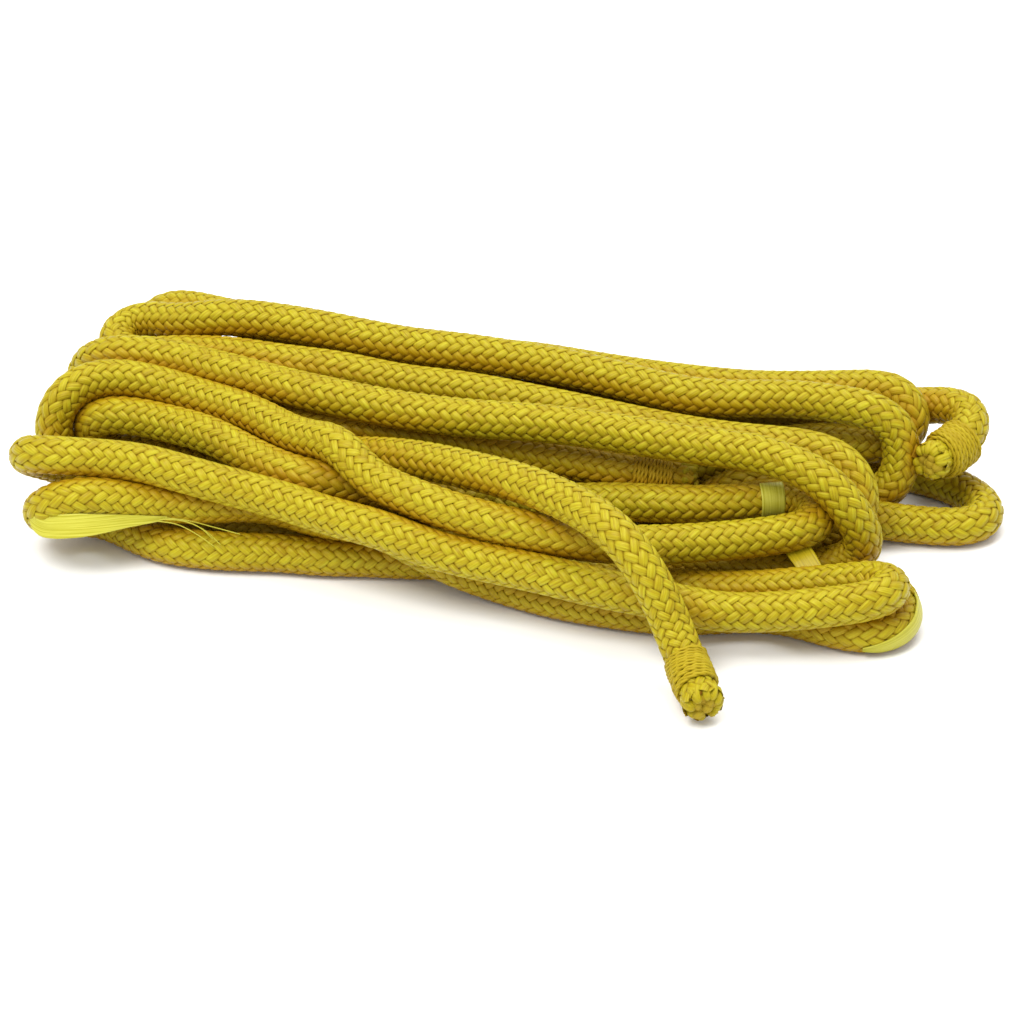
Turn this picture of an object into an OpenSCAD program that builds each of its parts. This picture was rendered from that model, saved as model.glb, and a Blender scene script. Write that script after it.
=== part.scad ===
/* [Rope] */
// Diameter of the rope
rope_d = 10; // [9.5:0.1:10.5]
// Sides of a rope run
rope_sides = 8; // [8:1:12]
// Height of one layer of laps in the hank
layer_h = 10; // [9:0.5:11]
// Height of the top layer, under the highest loop
top_layer_h = 9; // [7:0.5:10]

/* [Cut ends] */
// Length of the twine whipping at each end
whip_len = 11; // [8:0.5:13]
// Outer diameter of a whipping
whip_d = 11.6; // [11:0.1:12]
// Outer diameter of the whipping at the right, wound in two layers
thick_whip_d = 12.6; // [12:0.1:13]
// Length of the rope that stands out past the whipping
stub_len = 4; // [3:0.5:5]
// Diameter of the core that shows in the cut
core_d = 6.4; // [5:0.1:8]
// How far the core stands out of the cut
core_out = 0.8; // [0.4:0.1:1.5]

/* [Tape ties] */
// Thickness of the flat tape
tape_t = 0.4; // [0.2:0.1:0.8]
// Width of the flat tape
tape_w = 6.2; // [5:0.1:7]
// Play between the tape and the rope
tape_gap = 0.1; // [0.05:0.05:0.3]

/* [Free tail] */
// Play between the tail's round root and the run that it grows out of
root_gap = 0.4; // [0.3:0.1:1]

/* [Hidden] */
$fn = 48;

// The route of the two rope lengths, lying on the floor at z = 0: neighbouring stretches share a point.
// First length, from the free tail to the upper loop at the right
// Free tail, from its cut end on the floor up to its root on top of the hank
tail_pts = [
    [44, -78, 6], [42, -71, 8], [40, -64, 10], [38, -59, 13], [36, -56, 18], [33, -54, 23],
    [29, -50, 29], [24, -45, 33], [18, -38, 34]
];
// Tail run over the top of the hank, then down to its back left corner
top_run_pts = [
    [18, -38, 34], [10, -29, 34], [0, -20, 33], [-11, -11, 31], [-21, -3, 29], [-31, 5, 26],
    [-41, 13, 22], [-54, 20, 19], [-70, 28, 18], [-84, 35, 17]
];
// Left turn and the lap along the floor behind
back_lap_pts = [
    [-84, 35, 17], [-92, 41, 14], [-96, 48, 11], [-93, 55, 7], [-84, 57, 5], [-66, 51, 5], [-34, 50, 5],
    [-2, 45, 5], [30, 41, 5], [62, 39, 5]
];
// Lower loop at the right, on the floor
floor_loop_pts = [
    [62, 39, 5], [86, 38, 5], [98, 36, 5], [108, 32, 5], [116, 26, 5], [120, 20, 5], [122, 12, 5],
    [117, 6, 5], [106, 7, 5], [92, 8, 6], [79, 8, 11]
];
// Lap back to the left under the hank
floor_lap_pts = [
    [79, 8, 11], [68, 7, 17], [58, 7, 18], [50, 7, 13], [42, 8, 9], [32, 9, 6], [18, 10, 5],
    [-2, 11, 5], [-32, 12, 5], [-62, 17, 5], [-88, 23, 5]
];
// Big loop at the left
big_loop_pts = [
    [-88, 23, 5], [-104, 27, 5], [-114, 29, 9], [-119, 30, 17], [-119, 30, 25], [-115, 33, 30],
    [-106, 36, 32], [-96, 35, 31], [-82, 32, 29], [-71, 25, 29]
];
// Run that crosses the front from upper left to lower right, and its right turn
crossing_pts = [
    [-71, 25, 29], [-60, 15, 29], [-49, 4, 29], [-39, -6, 28], [-28, -15, 27], [-18, -21, 26],
    [-8, -25, 25], [2, -28, 24], [12, -29, 22], [23, -28, 20], [36, -25, 18], [48, -22, 17],
    [60, -20, 17], [68, -17, 17], [76, -11, 17], [75, -4, 18], [65, -3, 18]
];
// Lap inside the crossing run, and the small left loop inside the big one
inner_lap_pts = [
    [65, -3, 18], [52, -5, 18], [39, -5, 18], [26, -2, 17], [10, -1, 16], [-8, 0, 16], [-26, 1, 16],
    [-38, 0, 19], [-49, -2, 22], [-60, 4, 23], [-70, 12, 24], [-79, 19, 25], [-87, 25, 24],
    [-97, 29, 25], [-107, 31, 24], [-113, 33, 19], [-109, 36, 13], [-99, 35, 12]
];
// Lap along the floor to the right
under_lap_pts = [
    [-99, 35, 12], [-89, 30, 12], [-78, 26, 10], [-64, 26, 6], [-47, 27, 5], [-22, 30, 5], [-2, 31, 5],
    [23, 31, 5], [46, 30, 7], [62, 29, 14], [74, 29, 17]
];
// Right turn and the rearmost lap of the top
rear_top_pts = [
    [74, 29, 17], [86, 29, 17], [97, 29, 17], [103, 30, 19], [104, 33, 25], [97, 36, 28], [84, 36, 29],
    [64, 36, 29], [48, 37, 30], [33, 41, 30], [18, 46, 30], [3, 51, 30], [-22, 58, 28], [-52, 64, 29],
    [-74, 67, 34]
];
// Left turn and the lap below it
rear_low_pts = [
    [-74, 67, 34], [-90, 69, 34], [-100, 72, 30], [-100, 75, 22], [-90, 76, 18], [-72, 74, 18],
    [-42, 68, 18], [-2, 58, 16], [34, 54, 14], [64, 50, 15]
];
// Right turn and the rearmost lap on the floor
rear_floor_pts = [
    [64, 50, 15], [78, 51, 16], [86, 53, 13], [85, 53, 6], [68, 48, 5], [38, 52, 5], [-2, 58, 5],
    [-42, 64, 5], [-76, 70, 5]
];
// Left turn and the lap that leads to the upper right loop
rear_mid_pts = [
    [-76, 70, 5], [-96, 72, 5], [-105, 71, 9], [-106, 67, 17], [-97, 64, 21], [-78, 60, 22],
    [-52, 56, 21], [-22, 53, 20], [8, 48, 20], [38, 44, 20], [64, 42, 20]
];
// Upper loop at the right, which ends in a whipping
whipped_loop_pts = [
    [64, 42, 20], [82, 42, 21], [95, 42, 21], [104, 41, 21], [112, 38, 23], [118, 35, 24],
    [119, 29, 23], [116, 23, 21], [112, 18, 20], [105, 14, 20]
];

// Second length, from the cut end in the middle to the end hidden under the lower right turn
// Cut end in the middle, and its run to the left
middle_end_pts = [
    [45, 6, 20], [35, 6, 20], [24, 8, 21], [11, 11, 22], [-4, 15, 23], [-19, 19, 24], [-35, 23, 24],
    [-49, 27, 24], [-62, 34, 24], [-72, 40, 24]
];
// Left turn and the lap below
low_lap_pts = [
    [-72, 40, 24], [-82, 46, 22], [-91, 51, 19], [-94, 53, 15], [-89, 51, 11], [-78, 45, 13],
    [-68, 38, 13], [-52, 32, 14], [-34, 24, 14], [-18, 16, 15], [-5, 10, 15], [8, 5, 12], [20, 1, 8],
    [33, -2, 5], [48, -3, 5], [66, -3, 5]
];
// Right turn and the front lap of the top
front_top_pts = [
    [66, -3, 5], [80, -2, 6], [86, -2, 11], [87, -2, 18], [85, 2, 24], [80, 5, 26], [72, 8, 27],
    [62, 10, 27], [47, 14, 27], [32, 18, 28], [17, 23, 29], [1, 28, 30], [-14, 32, 31], [-30, 36, 31],
    [-45, 39, 33], [-56, 42, 33], [-72, 46, 33]
];
// Highest loop, at the left
top_loop_pts = [
    [-72, 46, 33], [-82, 52, 31], [-92, 54, 30], [-102, 56, 30], [-108, 62, 31], [-102, 67, 32],
    [-90, 63, 35], [-76, 58, 39]
];
// Lap that slopes down from the highest loop to the right
rear_crown_pts = [
    [-76, 58, 39], [-62, 55, 39], [-46, 51, 38], [-30, 48, 36], [-14, 44, 36], [1, 41, 35],
    [17, 37, 34], [32, 31, 33], [48, 26, 32], [60, 25, 32], [72, 25, 32], [82, 24, 31], [90, 23, 30],
    [97, 22, 27], [101, 20, 22], [101, 18, 14]
];
// Right turn and the lap below
mid_lap_pts = [
    [101, 18, 14], [94, 17, 8], [80, 17, 5], [64, 16, 5], [43, 17, 5], [28, 20, 10], [13, 25, 15],
    [-2, 32, 15], [-17, 39, 9], [-34, 40, 5], [-52, 39, 5], [-82, 39, 5]
];
// Left turn and the second lap of the top
second_top_pts = [
    [-82, 39, 5], [-97, 41, 6], [-108, 46, 10], [-114, 52, 17], [-114, 53, 26], [-106, 48, 33],
    [-94, 45, 34], [-84, 43, 33], [-78, 40, 33], [-71, 36, 33], [-60, 30, 33], [-45, 23, 33],
    [-29, 17, 33], [-14, 13, 33], [1, 9, 34], [16, 6, 34], [31, 3, 33], [46, 0, 32], [58, -3, 32],
    [68, -7, 31], [75, -11, 29], [81, -13, 24], [85, -15, 17], [88, -16, 10], [84, -14, 6]
];
// Right turn and the lap along the floor
low_front_pts = [
    [84, -14, 6], [74, -15, 5], [62, -16, 5], [44, -15, 5], [26, -11, 5], [8, -5, 5], [-10, -1, 5],
    [-32, 1, 5], [-62, 5, 5], [-88, 12, 5]
];
// Front loop at the left
front_loop_pts = [
    [-88, 12, 5], [-102, 18, 8], [-113, 19, 14], [-120, 15, 19], [-124, 9, 24], [-122, 3, 28],
    [-115, 2, 28], [-105, 2, 27], [-94, 1, 26], [-84, -2, 25], [-74, -4, 23], [-64, -7, 22]
];
// Run along the front to its right turn
front_run_pts = [
    [-64, -7, 22], [-54, -11, 21], [-44, -16, 20], [-33, -21, 20], [-23, -26, 18], [-13, -29, 17],
    [-3, -32, 16], [6, -35, 16], [16, -39, 15], [26, -41, 14], [36, -43, 13], [46, -46, 12],
    [58, -47, 12], [70, -47, 13], [79, -47, 14], [87, -45, 15], [92, -41, 14], [91, -35, 13],
    [85, -32, 11]
];
// Lap back to the left along the floor
floor_front_pts = [
    [85, -32, 11], [76, -29, 9], [62, -27, 6], [48, -25, 5], [33, -23, 5], [18, -20, 5], [-2, -12, 5],
    [-22, -11, 5], [-34, -10, 5], [-49, -8, 5], [-64, -7, 5], [-77, -6, 5], [-88, -3, 5], [-96, 1, 5]
];
// Lowest loop at the left
low_loop_pts = [
    [-96, 1, 5], [-103, 8, 5], [-111, 8, 7], [-118, 4, 9], [-121, -1, 13], [-116, -4, 18],
    [-107, -4, 20], [-97, -2, 18], [-87, -1, 16], [-77, 0, 15]
];
// Run along the foot of the front to the lower right turn and the hidden end
foot_run_pts = [
    [-77, 0, 15], [-67, 1, 15], [-55, -1, 15], [-44, -7, 15], [-33, -13, 15], [-26, -17, 13],
    [-19, -19, 10], [-9, -20, 6], [1, -25, 5], [11, -30, 5], [21, -33, 5], [31, -36, 5], [45, -37, 5],
    [55, -36, 5], [64, -36, 5], [72, -40, 5], [80, -44, 5], [87, -45, 5], [92, -43, 5], [94, -38, 5],
    [94, -32, 6], [91, -26, 6], [86, -22, 7]
];

// Stretches that lie inside the hank, which its layers hold
packed_pts = concat(
    back_lap_pts, floor_lap_pts, inner_lap_pts, under_lap_pts, rear_top_pts, rear_low_pts,
    rear_floor_pts, rear_mid_pts, low_lap_pts, front_top_pts, rear_crown_pts, mid_lap_pts,
    second_top_pts, low_front_pts, floor_front_pts, foot_run_pts
);

rope_r = rope_d / 2;
ring_step = 360 / rope_sides;
// Length of each end that its own pieces make
end_len = whip_len + stub_len;
// Facets of the round caps of a layer's outline
outline_fn = 24;
// Angles up the tail's round root, from its equator
dome_angles = [28, 56, 80];
// Ends of the strip on the lowest loop, and how far it leans back
strip_from = [-121, -4, 10.5];
strip_to = [-88, -3, 11];
view_tilt = 30;
// Middle of the band, and of the leaning strip
band_at = [64.5, -3, 18];
lean_at = [71.6, -20, 11.5];
// Middle of the lower right turn, and the radius of the rope's bend there
corner_at = [86.5, -37, 5];
corner_r = 7.5;

// Direction from b to a
function direction(a, b) = (a - b) / norm(a - b);

// The points from number a to number b
function stretch(p, a, b) = [for (i = [a : b]) p[i]];

// Every other point, and the last one
function alternate(p) = [for (i = [0 : len(p) - 1]) if (i % 2 == 0 || i == len(p) - 1) p[i]];

// The list turned round
function reversed(p) = [for (i = [len(p) - 1 : -1 : 0]) p[i]];

// Direction of the route at point i
function tangent(p, i) = direction(p[min(i + 1, len(p) - 1)], p[max(i - 1, 0)]);

// The part of n that is square to t
function square_to(n, t) = let (m = n - (n * t) * t) m / norm(m);

// A normal at each point, carried along the route with no twist
function normals(p) = [
    for (i = 0, n = square_to([0.1, 0.2, 1], tangent(p, 0));
        i < len(p);
        i = i + 1, n = square_to(n, tangent(p, min(i, len(p) - 1)))) n
];

// The corners of every ring along the route, with a radius at each point
function rings(p, radii) = let (n = normals(p)) [
    for (i = [0 : len(p) - 1])
        let (t = tangent(p, i), b = cross(t, n[i]))
        for (k = [0 : rope_sides - 1])
            p[i] + radii[i] * (cos(k * ring_step) * n[i] + sin(k * ring_step) * b)
];

// Where a run reaches the whipping at its end
function whip_start(p) = p[0] - end_len * end_direction(p);

// Direction in which the cut end at the start of a route points
function end_direction(p) = direction(p[0], p[2]);

// Points of a run whose first stretch its end pieces make
function cut_back(p) = concat(
    [whip_start(p)],
    [for (q = p) if (norm(q - p[0]) > end_len + rope_r) q]
);

// Sweeps a many-sided rope along a route
module sweep(p, radii) {
    last = (len(p) - 1) * rope_sides;
    polyhedron(
        points = rings(p, radii),
        faces = concat(
            [[for (k = [0 : rope_sides - 1]) k]],
            [[for (k = [rope_sides - 1 : -1 : 0]) last + k]],
            [for (i = [0 : len(p) - 2], k = [0 : rope_sides - 1])
                let (a = i * rope_sides + k, b = i * rope_sides + (k + 1) % rope_sides)
                each [[a, a + rope_sides, b + rope_sides], [a, b + rope_sides, b]]]
        )
    );
}

module rope(p) {
    color("gold") sweep(p, [for (i = p) rope_r]);
}

// Moves +Z onto a direction at a point
module facing(p, d) {
    translate(p) rotate([0, acos(d.z), atan2(d.y, d.x)]) children();
}

// One layer of laps: the outline round the packed points between two heights
module layer(z_from, z_to, height) {
    color("goldenrod")
        translate([0, 0, z_from])
            linear_extrude(height)
                hull()
                    for (p = packed_pts)
                        if (p.z >= z_from && p.z < z_to)
                            translate([p.x, p.y]) circle(rope_r, $fn = outline_fn);
}

// Twine wound round a cut end; p starts at that end
module whipping(p, d = whip_d) {
    color("khaki") facing(whip_start(p), end_direction(p)) cylinder(h = whip_len, d = d);
}

// The short stub past the whipping, with the core in its cut face
module cut_end(p) {
    color("lightyellow")
        facing(p[0] - stub_len * end_direction(p), end_direction(p)) {
            cylinder(h = stub_len, d = rope_d);
            cylinder(h = stub_len + core_out, d = core_d);
        }
}

// The edge of a tape that tapers: d is its height
module tape_edge(p, d) {
    translate(p) rotate([-view_tilt, 0, 0]) cube([tape_t, tape_t, d], center = true);
}

module floor_laps() {
    layer(0, layer_h, layer_h);
}

module lower_laps() {
    layer(layer_h, 2 * layer_h, layer_h);
}

module upper_laps() {
    layer(2 * layer_h, 3 * layer_h, layer_h);
}

module top_laps() {
    layer(3 * layer_h, 5 * layer_h, top_layer_h);
}

module top_run() {
    p = top_run_pts;
    start = p[0] + (rope_r + root_gap) * direction(p[1], p[0]);
    rope(concat([start], stretch(alternate(p), 1, 5)));
}

module crossing_run() {
    rope(alternate(stretch(crossing_pts, 0, 13)));
}

module front_run() {
    rope(concat(
        [front_loop_pts[8]],
        alternate(stretch(front_run_pts, 0, 13)),
        stretch(front_run_pts, 14, 16)
    ));
}

module middle_run() {
    rope(stretch(cut_back(middle_end_pts), 0, 4));
}

module big_loop() {
    rope(stretch(big_loop_pts, 1, 8));
}

module front_loop() {
    rope(stretch(front_loop_pts, 1, 8));
}

module top_loop() {
    rope(stretch(top_loop_pts, 1, 6));
}

module floor_loop() {
    rope(stretch(floor_loop_pts, 1, 9));
}

module low_loop() {
    rope(stretch(low_loop_pts, 0, 8));
}

module whipped_loop() {
    rope(cut_back(reversed(whipped_loop_pts)));
}

// The free tail, a rope whose root is rounded about the point where it swings
module tail() {
    p = cut_back(tail_pts);
    root = p[len(p) - 1];
    out = direction(root, p[len(p) - 2]);
    dome = [for (a = dome_angles) root + rope_r * sin(a) * out];
    color("gold") sweep(
        concat(p, dome),
        concat([for (i = p) rope_r], [for (a = dome_angles) rope_r * cos(a)])
    );
}

module tail_whipping() {
    whipping(tail_pts);
}

module tail_cut_end() {
    cut_end(tail_pts);
}

module middle_whipping() {
    whipping(middle_end_pts);
}

module middle_cut_end() {
    cut_end(middle_end_pts);
}

module right_whipping() {
    whipping(reversed(whipped_loop_pts), thick_whip_d);
}

module right_cut_end() {
    cut_end(reversed(whipped_loop_pts));
}

module hidden_whipping() {
    whipping(reversed(foot_run_pts));
}

module hidden_cut_end() {
    cut_end(reversed(foot_run_pts));
}

// Tapering strip from the turn of the lowest loop to the right
module low_loop_tape() {
    color("lemonchiffon") hull() {
        tape_edge(strip_from, tape_w);
        tape_edge(strip_to, 0.25 * tape_w);
    }
}

// Band over the lap beside the turn of the crossing run
module crossing_tape() {
    color("lemonchiffon")
        facing(band_at, [1, 0.15, 0])
            rotate([0, 0, 150])
                rotate_extrude(angle = 150)
                    translate([rope_r + tape_gap, -tape_w / 2]) square([tape_t, tape_w]);
}

// Loose strip that leans in the gap under that turn
module gap_tape() {
    color("lemonchiffon")
        translate(lean_at) rotate([17, 0, 18]) cube([tape_w, 1.8 * tape_w, tape_t], center = true);
}

// Strip round the outside of the lower right turn
module corner_tape() {
    color("lemonchiffon")
        translate(corner_at)
            rotate([0, 0, -75])
                rotate_extrude(angle = 105)
                    translate([corner_r, 0])
                        intersection() {
                            difference() {
                                circle(rope_r + tape_gap + tape_t);
                                circle(rope_r + tape_gap);
                            }
                            translate([0, -0.65 * tape_w]) square([2 * rope_r, tape_w]);
                        }
}

floor_laps();
lower_laps();
upper_laps();
top_laps();
top_run();
crossing_run();
front_run();
middle_run();
big_loop();
front_loop();
top_loop();
low_loop();
floor_loop();
whipped_loop();
tail();
tail_whipping();
tail_cut_end();
middle_whipping();
middle_cut_end();
right_whipping();
right_cut_end();
hidden_whipping();
hidden_cut_end();
low_loop_tape();
crossing_tape();
gap_tape();
corner_tape();
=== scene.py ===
import math

import bpy
import numpy as np
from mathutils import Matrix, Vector


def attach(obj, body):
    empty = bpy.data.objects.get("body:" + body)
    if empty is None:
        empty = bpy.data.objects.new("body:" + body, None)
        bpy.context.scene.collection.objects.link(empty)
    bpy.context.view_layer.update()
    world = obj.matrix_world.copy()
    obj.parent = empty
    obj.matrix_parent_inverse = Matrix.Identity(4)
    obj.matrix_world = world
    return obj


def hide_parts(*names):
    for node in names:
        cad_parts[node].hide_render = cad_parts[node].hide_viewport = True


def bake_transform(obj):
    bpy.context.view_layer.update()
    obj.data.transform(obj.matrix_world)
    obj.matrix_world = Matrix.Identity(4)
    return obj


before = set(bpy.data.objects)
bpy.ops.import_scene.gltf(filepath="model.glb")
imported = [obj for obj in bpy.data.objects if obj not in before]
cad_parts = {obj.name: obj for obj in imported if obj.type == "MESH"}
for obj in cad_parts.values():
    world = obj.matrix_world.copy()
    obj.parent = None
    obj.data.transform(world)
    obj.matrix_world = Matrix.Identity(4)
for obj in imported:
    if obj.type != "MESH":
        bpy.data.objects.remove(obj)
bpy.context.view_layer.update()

# ---------------------------------------------------------------- sizes, in millimetres until made
MM = 0.001
ROPE_D = 10.0
ROPE_R = ROPE_D / 2
SHEATH_R = 4.52  # middle radius of the braid
WAVE = 0.46  # how far a strand rises and dips about that radius
STRANDS = 12  # strands in each direction
LAY = 36.7  # length of one turn of a strand
STRAND_W = 2.06
CORE_R = 3.8  # the inside, painted dark as the shade that shows between the strands
STEPS_PER_LAY = 48
WHIP_FROM, WHIP_TO = 4.0, 15.0  # whipping, from the cut end
TWINE_D = 1.15
PATH_STEP = LAY / STEPS_PER_LAY
# How readily a stretch gives way where laps touch: what is seen stays on its route
SEEN, HIDDEN = 0.12, 1.0

# ---------------------------------------------------------------- the route, the same as in part.scad
# First length, from the free tail's cut end to the upper loop at the right
FIRST_ROUTE = [
    (SEEN, [  # free tail, from its cut end on the floor up to its root on top of the hank
        (44, -78, 6), (42, -71, 8), (40, -64, 10), (38, -59, 13), (36, -56, 18), (33, -54, 23),
        (29, -50, 29), (24, -45, 33),
    ]),
    (SEEN, [  # tail run over the top of the hank, then down to its back left corner
        (18, -38, 34), (10, -29, 34), (0, -20, 33), (-11, -11, 31), (-21, -3, 29), (-31, 5, 26),
        (-41, 13, 22), (-54, 20, 19), (-70, 28, 18),
    ]),
    (HIDDEN, [  # left turn and the lap along the floor behind
        (-84, 35, 17), (-92, 41, 14), (-96, 48, 11), (-93, 55, 7), (-84, 57, 5), (-66, 51, 5),
        (-34, 50, 5), (-2, 45, 5), (30, 41, 5),
    ]),
    (SEEN, [  # lower loop at the right, on the floor
        (62, 39, 5), (86, 38, 5), (98, 36, 5), (108, 32, 5), (116, 26, 5), (120, 20, 5),
        (122, 12, 5), (117, 6, 5), (106, 7, 5), (92, 8, 6),
    ]),
    (HIDDEN, [  # lap back to the left under the hank
        (79, 8, 11), (68, 7, 17), (58, 7, 18), (50, 7, 13), (42, 8, 9), (32, 9, 6), (18, 10, 5),
        (-2, 11, 5), (-32, 12, 5), (-62, 17, 5),
    ]),
    (SEEN, [  # big loop at the left
        (-88, 23, 5), (-104, 27, 5), (-114, 29, 9), (-119, 30, 17), (-119, 30, 25), (-115, 33, 30),
        (-106, 36, 32), (-96, 35, 31), (-82, 32, 29),
    ]),
    (SEEN, [  # run that crosses the front from upper left to lower right, and its right turn
        (-71, 25, 29), (-60, 15, 29), (-49, 4, 29), (-39, -6, 28), (-28, -15, 27), (-18, -21, 26),
        (-8, -25, 25), (2, -28, 24), (12, -29, 22), (23, -28, 20), (36, -25, 18), (48, -22, 17),
        (60, -20, 17), (68, -17, 17), (76, -11, 17), (75, -4, 18),
    ]),
    (SEEN, [  # lap inside the crossing run, and the small left loop inside the big one
        (65, -3, 18), (52, -5, 18), (39, -5, 18), (26, -2, 17), (10, -1, 16), (-8, 0, 16),
        (-26, 1, 16), (-38, 0, 19), (-49, -2, 22), (-60, 4, 23), (-70, 12, 24), (-79, 19, 25),
        (-87, 25, 24), (-97, 29, 25), (-107, 31, 24), (-113, 33, 19), (-109, 36, 13),
    ]),
    (HIDDEN, [  # lap along the floor to the right
        (-99, 35, 12), (-89, 30, 12), (-78, 26, 10), (-64, 26, 6), (-47, 27, 5), (-22, 30, 5),
        (-2, 31, 5), (23, 31, 5), (46, 30, 7), (62, 29, 14),
    ]),
    (SEEN, [  # right turn and the rearmost lap of the top
        (74, 29, 17), (86, 29, 17), (97, 29, 17), (103, 30, 19), (104, 33, 25), (97, 36, 28),
        (84, 36, 29), (64, 36, 29), (48, 37, 30), (33, 41, 30), (18, 46, 30), (3, 51, 30),
        (-22, 58, 28), (-52, 64, 29),
    ]),
    (HIDDEN, [  # left turn and the lap below it
        (-74, 67, 34), (-90, 69, 34), (-100, 72, 30), (-100, 75, 22), (-90, 76, 18), (-72, 74, 18),
        (-42, 68, 18), (-2, 58, 16), (34, 54, 14),
    ]),
    (HIDDEN, [  # right turn and the rearmost lap on the floor
        (64, 50, 15), (78, 51, 16), (86, 53, 13), (85, 53, 6), (68, 48, 5), (38, 52, 5),
        (-2, 58, 5), (-42, 64, 5),
    ]),
    (HIDDEN, [  # left turn and the lap that leads to the upper right loop
        (-76, 70, 5), (-96, 72, 5), (-105, 71, 9), (-106, 67, 17), (-97, 64, 21), (-78, 60, 22),
        (-52, 56, 21), (-22, 53, 20), (8, 48, 20), (38, 44, 20),
    ]),
    (SEEN, [  # upper loop at the right, which ends in a whipping
        (64, 42, 20), (82, 42, 21), (95, 42, 21), (104, 41, 21), (112, 38, 23), (118, 35, 24),
        (119, 29, 23), (116, 23, 21), (112, 18, 20), (105, 14, 20),
    ]),
]
# Second length, from the cut end in the middle to the end hidden under the lower right turn
SECOND_ROUTE = [
    (SEEN, [  # cut end in the middle, and its run to the left
        (45, 6, 20), (35, 6, 20), (24, 8, 21), (11, 11, 22), (-4, 15, 23), (-19, 19, 24),
        (-35, 23, 24), (-49, 27, 24), (-62, 34, 24),
    ]),
    (HIDDEN, [  # left turn and the lap below
        (-72, 40, 24), (-82, 46, 22), (-91, 51, 19), (-94, 53, 15), (-89, 51, 11), (-78, 45, 13),
        (-68, 38, 13), (-52, 32, 14), (-34, 24, 14), (-18, 16, 15), (-5, 10, 15), (8, 5, 12),
        (20, 1, 8), (33, -2, 5), (48, -3, 5),
    ]),
    (SEEN, [  # right turn and the front lap of the top
        (66, -3, 5), (80, -2, 6), (86, -2, 11), (87, -2, 18), (85, 2, 24), (80, 5, 26), (72, 8, 27),
        (62, 10, 27), (47, 14, 27), (32, 18, 28), (17, 23, 29), (1, 28, 30), (-14, 32, 31),
        (-30, 36, 31), (-45, 39, 33), (-56, 42, 33),
    ]),
    (SEEN, [  # highest loop, at the left
        (-72, 46, 33), (-82, 52, 31), (-92, 54, 30), (-102, 56, 30), (-108, 62, 31), (-102, 67, 32),
        (-90, 63, 35),
    ]),
    (SEEN, [  # lap that slopes down from the highest loop to the right
        (-76, 58, 39), (-62, 55, 39), (-46, 51, 38), (-30, 48, 36), (-14, 44, 36), (1, 41, 35),
        (17, 37, 34), (32, 31, 33), (48, 26, 32), (60, 25, 32), (72, 25, 32), (82, 24, 31),
        (90, 23, 30), (97, 22, 27), (101, 20, 22),
    ]),
    (HIDDEN, [  # right turn and the lap below
        (101, 18, 14), (94, 17, 8), (80, 17, 5), (64, 16, 5), (43, 17, 5), (28, 20, 10),
        (13, 25, 15), (-2, 32, 15), (-17, 39, 9), (-34, 40, 5), (-52, 39, 5),
    ]),
    (SEEN, [  # left turn and the second lap of the top
        (-82, 39, 5), (-97, 41, 6), (-108, 46, 10), (-114, 52, 17), (-114, 53, 26), (-106, 48, 33),
        (-94, 45, 34), (-84, 43, 33), (-78, 40, 33), (-71, 36, 33), (-60, 30, 33), (-45, 23, 33),
        (-29, 17, 33), (-14, 13, 33), (1, 9, 34), (16, 6, 34), (31, 3, 33), (46, 0, 32),
        (58, -3, 32), (68, -7, 31), (75, -11, 29), (81, -13, 24), (85, -15, 17), (88, -16, 10),
    ]),
    (HIDDEN, [  # right turn and the lap along the floor
        (84, -14, 6), (74, -15, 5), (62, -16, 5), (44, -15, 5), (26, -11, 5), (8, -5, 5),
        (-10, -1, 5), (-32, 1, 5), (-62, 5, 5),
    ]),
    (SEEN, [  # front loop at the left
        (-88, 12, 5), (-102, 18, 8), (-113, 19, 14), (-120, 15, 19), (-124, 9, 24), (-122, 3, 28),
        (-115, 2, 28), (-105, 2, 27), (-94, 1, 26), (-84, -2, 25), (-74, -4, 23),
    ]),
    (SEEN, [  # run along the front to its right turn
        (-64, -7, 22), (-54, -11, 21), (-44, -16, 20), (-33, -21, 20), (-23, -26, 18),
        (-13, -29, 17), (-3, -32, 16), (6, -35, 16), (16, -39, 15), (26, -41, 14), (36, -43, 13),
        (46, -46, 12), (58, -47, 12), (70, -47, 13), (79, -47, 14), (87, -45, 15), (92, -41, 14),
        (91, -35, 13),
    ]),
    (SEEN, [  # lap back to the left along the floor
        (85, -32, 11), (76, -29, 9), (62, -27, 6), (48, -25, 5), (33, -23, 5), (18, -20, 5),
        (-2, -12, 5), (-22, -11, 5), (-34, -10, 5), (-49, -8, 5), (-64, -7, 5), (-77, -6, 5),
        (-88, -3, 5),
    ]),
    (SEEN, [  # lowest loop at the left
        (-96, 1, 5), (-103, 8, 5), (-111, 8, 7), (-118, 4, 9), (-121, -1, 13), (-116, -4, 18),
        (-107, -4, 20), (-97, -2, 18), (-87, -1, 16),
    ]),
    (SEEN, [  # run along the foot of the front to the lower right turn and the hidden end
        (-77, 0, 15), (-67, 1, 15), (-55, -1, 15), (-44, -7, 15), (-33, -13, 15), (-26, -17, 13),
        (-19, -19, 10), (-9, -20, 6), (1, -25, 5), (11, -30, 5), (21, -33, 5), (31, -36, 5),
        (45, -37, 5), (55, -36, 5), (64, -36, 5), (72, -40, 5), (80, -44, 5), (87, -45, 5),
        (92, -43, 5), (94, -38, 5), (94, -32, 6), (91, -26, 6), (86, -22, 7),
    ]),
]


# ---------------------------------------------------------------- camera
LOOKS_AT = (-2, -10, 20)
LOOKS_DOWN = 30  # degrees
CAMERA_FAR = 800
LENS = 113.6  # the hank fills as much of the picture as in the photo


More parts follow.
